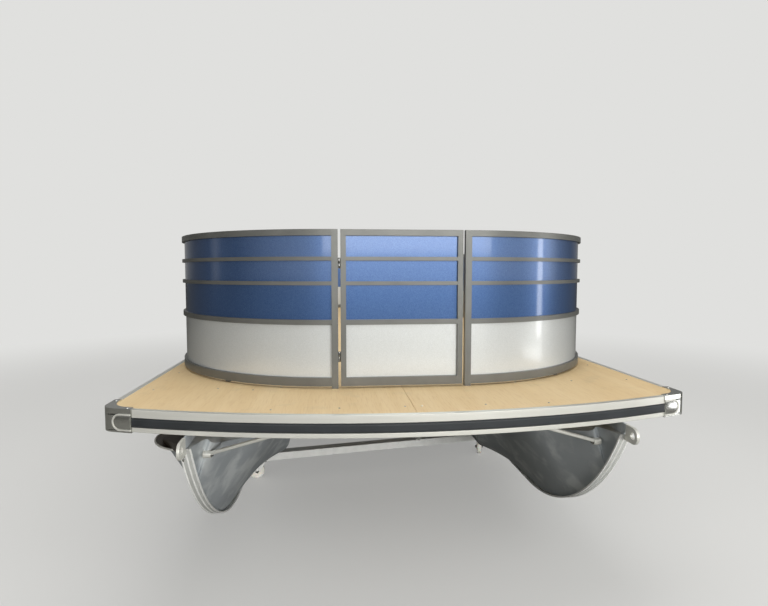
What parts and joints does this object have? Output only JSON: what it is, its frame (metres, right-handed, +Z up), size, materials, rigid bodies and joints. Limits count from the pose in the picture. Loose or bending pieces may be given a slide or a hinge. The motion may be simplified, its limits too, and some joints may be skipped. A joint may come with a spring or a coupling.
{
  "type": "pontoon boat on a workshop dolly",
  "caption": "Twin-tube pontoon boat hull with a plywood deck, bowed front edge, framed railing panels and hinged gates, standing on a caster dolly.",
  "frame": {"origin": "on the floor, midway between the outermost points ahead and astern and between the two sides", "axes": "+X to port, +Y aft, +Z up"},
  "size_m": [2.5, 6.5998, 1.67],
  "materials": {
    "hull_aluminium": "dull mill-finish sheet, mottled by handling and weld heat",
    "mill_aluminium": "mill-finish extrusion and plate",
    "edge_aluminium": "bright anodised extrusion",
    "cast_aluminium": "polished sand casting",
    "rub_rubber": "black extruded rubber with a slight sheen",
    "frame_paint": "dark grey satin powder coat",
    "blue_skin": "glossy metallic blue coil-coated sheet",
    "silver_skin": "glossy light silver coil-coated sheet",
    "plywood": "bare sanded plywood",
    "dolly_steel": "light grey painted square tube and pressed steel",
    "wheel_nylon": "white moulded nylon"
  },
  "bodies": {
    "boat": {"edge_rails": "edge_aluminium", "rub_rails": "rub_rubber", "corner_caps": "cast_aluminium", "deck_sheets": "plywood", "cross_members": "mill_aluminium", "pontoon_port": "hull_aluminium", "pontoon_starboard": "hull_aluminium", "keels": "mill_aluminium", "bow_eyes": "mill_aluminium", "risers": "mill_aluminium", "nose_braces": "mill_aluminium", "motor_pod": "mill_aluminium", "transom": "mill_aluminium", "frame_bow_port": "frame_paint", "lower_skin_bow_port": "silver_skin", "upper_skin_bow_port": "blue_skin", "frame_bow_starboard": "frame_paint", "lower_skin_bow_starboard": "silver_skin", "upper_skin_bow_starboard": "blue_skin", "frame_aft_port": "frame_paint", "lower_skin_aft_port": "silver_skin", "upper_skin_aft_port": "blue_skin", "frame_aft_starboard": "frame_paint", "lower_skin_aft_starboard": "silver_skin", "upper_skin_aft_starboard": "blue_skin", "dolly_bars": "dolly_steel"},
    "gate_bow": {"gate_bow": "frame_paint", "lower_skin_gate_bow": "silver_skin", "upper_skin_gate_bow": "blue_skin"},
    "gate_port": {"gate_port": "frame_paint", "lower_skin_gate_port": "silver_skin", "upper_skin_gate_port": "blue_skin"},
    "gate_stern": {"gate_stern": "frame_paint", "lower_skin_gate_stern": "silver_skin", "upper_skin_gate_stern": "blue_skin"},
    "caster_bow_starboard": {"caster_fork_bow_starboard": "dolly_steel"},
    "wheel_bow_starboard": {"caster_wheel_bow_starboard": "wheel_nylon"},
    "caster_bow_port": {"caster_fork_bow_port": "dolly_steel"},
    "wheel_bow_port": {"caster_wheel_bow_port": "wheel_nylon"},
    "caster_stern_starboard": {"caster_fork_stern_starboard": "dolly_steel"},
    "wheel_stern_starboard": {"caster_wheel_stern_starboard": "wheel_nylon"},
    "caster_stern_port": {"caster_fork_stern_port": "dolly_steel"},
    "wheel_stern_port": {"caster_wheel_stern_port": "wheel_nylon"}
  },
  "joints": [
    {"name": "gate_bow_hinge", "type": "hinge", "parent": "boat", "child": "gate_bow", "pos_m": [-0.294, -2.802, 1.3], "axis": [0, 0, 1], "range_deg": [0, 105]},
    {"name": "gate_port_hinge", "type": "hinge", "parent": "boat", "child": "gate_port", "pos_m": [1.183, 0.036, 1.3], "axis": [0, 0, 1], "range_deg": [0, 105]},
    {"name": "gate_stern_hinge", "type": "hinge", "parent": "boat", "child": "gate_stern", "pos_m": [0.294, 2.373, 1.3], "axis": [0, 0, 1], "range_deg": [0, 105]},
    {"name": "swivel_bow_starboard", "type": "hinge", "parent": "boat", "child": "caster_bow_starboard", "pos_m": [-0.84, -1.54411, 0.12], "axis": [0, 0, 1], "continuous": true},
    {"name": "roll_bow_starboard", "type": "hinge", "parent": "caster_bow_starboard", "child": "wheel_bow_starboard", "pos_m": [-0.87348, -1.55002, 0.052], "axis": [-0.1736, 0.9848, 0], "continuous": true},
    {"name": "swivel_bow_port", "type": "hinge", "parent": "boat", "child": "caster_bow_port", "pos_m": [0.84, -1.24789, 0.12], "axis": [0, 0, 1], "continuous": true},
    {"name": "roll_bow_port", "type": "hinge", "parent": "caster_bow_port", "child": "wheel_bow_port", "pos_m": [0.8488, -1.21504, 0.052], "axis": [0.9659, -0.2588, 0], "continuous": true},
    {"name": "swivel_stern_starboard", "type": "hinge", "parent": "boat", "child": "caster_stern_starboard", "pos_m": [-0.84, 1.82, 0.12], "axis": [0, 0, 1], "continuous": true},
    {"name": "roll_stern_starboard", "type": "hinge", "parent": "caster_stern_starboard", "child": "wheel_stern_starboard", "pos_m": [-0.85163, 1.85195, 0.052], "axis": [0.9397, 0.342, 0], "continuous": true},
    {"name": "swivel_stern_port", "type": "hinge", "parent": "boat", "child": "caster_stern_port", "pos_m": [0.84, 1.82, 0.12], "axis": [0, 0, 1], "continuous": true},
    {"name": "roll_stern_port", "type": "hinge", "parent": "caster_stern_port", "child": "wheel_stern_port", "pos_m": [0.86605, 1.84185, 0.052], "axis": [0.6428, -0.766, 0], "continuous": true}
  ]
}
